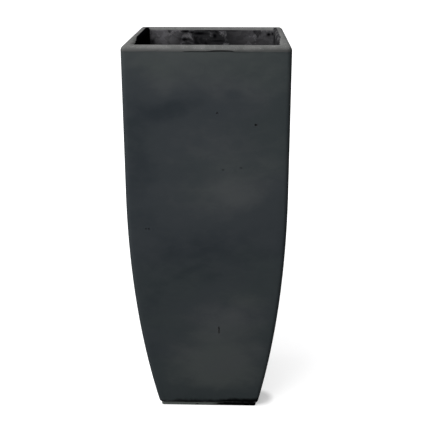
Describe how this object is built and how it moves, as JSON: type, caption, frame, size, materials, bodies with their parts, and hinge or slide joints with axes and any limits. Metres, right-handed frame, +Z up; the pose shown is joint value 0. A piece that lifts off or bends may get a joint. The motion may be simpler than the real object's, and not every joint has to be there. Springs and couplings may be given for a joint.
{
  "type": "tall square planter",
  "caption": "Tall square fibreglass planter with rounded corners and lip, tapering along an arc to a narrower plinth, with a plugged floor drain.",
  "frame": {"origin": "on the ground under the middle of the planter", "axes": "+Z up along the planter, +X to the right and -Y towards the viewer of the pictured face; the four sides are alike"},
  "size_m": [0.355, 0.355, 0.9],
  "materials": {
    "laminate": "matte, faintly mottled charcoal",
    "raw_laminate": "rough hand-laid laminate",
    "plywood": "bare",
    "batten_timber": "bare",
    "bush_plastic": "satin black",
    "plug_rubber": "matte black",
    "pad_rubber": "matte black"
  },
  "bodies": {
    "planter": {"wall_shell": "laminate", "rim_lip": "laminate", "rim_capping": "raw_laminate", "floor_core": "plywood", "floor_pan": "raw_laminate", "drain_bush": "bush_plastic", "base_plinth": "laminate", "rim_core_front": "batten_timber", "rim_core_right": "batten_timber", "rim_core_back": "batten_timber", "rim_core_left": "batten_timber", "foot_pad_front_left": "pad_rubber", "foot_pad_front_right": "pad_rubber", "foot_pad_back_left": "pad_rubber", "foot_pad_back_right": "pad_rubber"},
    "plug": {"drain_plug": "plug_rubber"}
  },
  "joints": [
    {"name": "plug_lift", "type": "slide", "parent": "planter", "child": "plug", "axis": [0, 0, 1], "range_m": [0, 0.92]}
  ]
}
